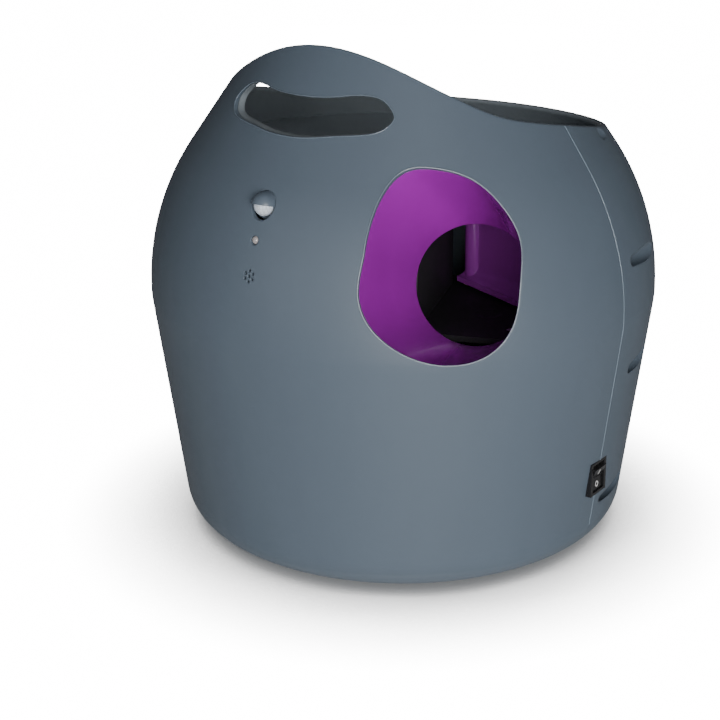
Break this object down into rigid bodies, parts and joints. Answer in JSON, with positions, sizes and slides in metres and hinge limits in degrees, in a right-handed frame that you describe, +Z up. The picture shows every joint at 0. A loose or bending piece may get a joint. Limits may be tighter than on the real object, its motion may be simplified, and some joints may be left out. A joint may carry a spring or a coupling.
{
  "type": "automatic dog ball launcher",
  "caption": "Rounded bucket-shaped dog ball launcher with a carry handle, a purple side launch funnel, a swinging kicker, a geared motor drive and a battery base.",
  "frame": {"origin": "on the floor, under the centre of the round body", "axes": "+Z up, -Y to the front with the carry handle and the sensor, +X to the side with the switch"},
  "size_m": [0.336, 0.336, 0.3299],
  "materials": {
    "shell_grey": "satin-gloss slate grey moulded plastic",
    "bucket_grey": "fine matt dark grey moulded plastic",
    "funnel_purple": "glossy purple moulded plastic",
    "black_plastic": "matt black moulded plastic",
    "gloss_black": "gloss black plastic",
    "white_plastic": "natural white acetal",
    "steel": "zinc plated steel",
    "bright_steel": "ground steel",
    "motor_steel": "drawn steel can",
    "brass": "turned brass",
    "rubber": "matt black rubber",
    "cell_wrap": "plain wrapped metal can",
    "board_green": "green solder resist",
    "lens_white": "milky white polyethylene",
    "lamp_clear": "clear light pipe"
  },
  "bodies": {
    "main": {"front_shell": "shell_grey", "rear_shell": "shell_grey", "shell_screws": "steel", "hopper_bowl": "bucket_grey", "feed_neck": "bucket_grey", "launch_funnel": "funnel_purple", "launch_deck": "black_plastic", "chamber_walls": "black_plastic", "deck_posts": "black_plastic", "frame_screws": "steel", "kicker_bushings": "brass", "stop_bumper": "rubber", "dial_bracket": "black_plastic", "drive_axle": "bright_steel", "idler_axle": "bright_steel", "motor": "motor_steel", "motor_plate": "steel", "motor_spacers": "brass", "mech_frame": "black_plastic", "base_plate": "shell_grey", "base_screws": "steel", "rubber_feet": "rubber", "battery_tray": "black_plastic", "battery_cells": "cell_wrap", "battery_contacts": "bright_steel", "switch_housing": "gloss_black", "switch_terminals": "brass", "power_inlet": "gloss_black", "main_board": "board_green", "board_posts": "white_plastic", "board_parts": "gloss_black", "sensor_board": "board_green", "sensor_hood": "funnel_purple", "sensor_lens": "lens_white", "sensor_can": "motor_steel", "status_lamp": "lamp_clear", "speaker": "black_plastic", "door_hinge_pin": "steel"},
    "kicker": {"kicker_paddle": "funnel_purple", "kicker_shaft": "bright_steel", "kicker_lever": "bright_steel", "lever_pin": "bright_steel"},
    "drive_wheel": {"drive_gear": "white_plastic", "crank_pin": "bright_steel"},
    "roller": {"crank_roller": "white_plastic"},
    "idler": {"idler_gear": "white_plastic"},
    "rotor": {"motor_pinion": "brass", "motor_shaft": "bright_steel"},
    "dial": {"distance_dial": "black_plastic", "adjust_screw": "brass"},
    "anchor": {"spring_anchor": "white_plastic", "kicker_spring": "bright_steel"},
    "rocker": {"switch_rocker": "gloss_black"},
    "door": {"battery_door": "shell_grey"}
  },
  "joints": [
    {"name": "kicker_swing", "type": "hinge", "parent": "main", "child": "kicker", "pos_m": [0.02421, 0.05308, 0.15], "axis": [0, 0, 1], "range_deg": [0, 42], "deforming": ["kicker_spring"]},
    {"name": "drive_spin", "type": "hinge", "parent": "main", "child": "drive_wheel", "pos_m": [-0.05, 0.032, 0.104], "axis": [0, 0, 1], "continuous": true},
    {"name": "roller_spin", "type": "hinge", "parent": "drive_wheel", "child": "roller", "pos_m": [-0.082, 0.032, 0.112], "axis": [0, 0, 1], "continuous": true},
    {"name": "idler_spin", "type": "hinge", "parent": "main", "child": "idler", "pos_m": [-0.03085, -0.02062, 0.098], "axis": [0, 0, 1], "continuous": true},
    {"name": "motor_spin", "type": "hinge", "parent": "main", "child": "rotor", "pos_m": [-0.00136, -0.04127, 0.092], "axis": [0, 0, 1], "continuous": true},
    {"name": "dial_turn", "type": "hinge", "parent": "main", "child": "dial", "pos_m": [0, 0.15, 0.132], "axis": [0, 1, 0], "range_deg": [-144, 144]},
    {"name": "anchor_slide", "type": "slide", "parent": "main", "child": "anchor", "axis": [0, 1, 0], "range_m": [-0.0101, 0.0101], "deforming": ["kicker_spring"]},
    {"name": "power_rocker", "type": "hinge", "parent": "main", "child": "rocker", "pos_m": [0.151, -0.008, 0.0582], "axis": [0, 1, 0], "range_deg": [-20, 0]},
    {"name": "battery_door_swing", "type": "hinge", "parent": "main", "child": "door", "pos_m": [0, 0.0716, 0.0067], "axis": [1, 0, 0], "range_deg": [0, 100]}
  ],
  "couplings": [
    {"joint": "idler_spin", "follows": "drive_spin", "ratio": -3},
    {"joint": "motor_spin", "follows": "drive_spin", "ratio": 9},
    {"joint": "anchor_slide", "follows": "dial_turn", "m_per_rad": 0.0039789}
  ]
}
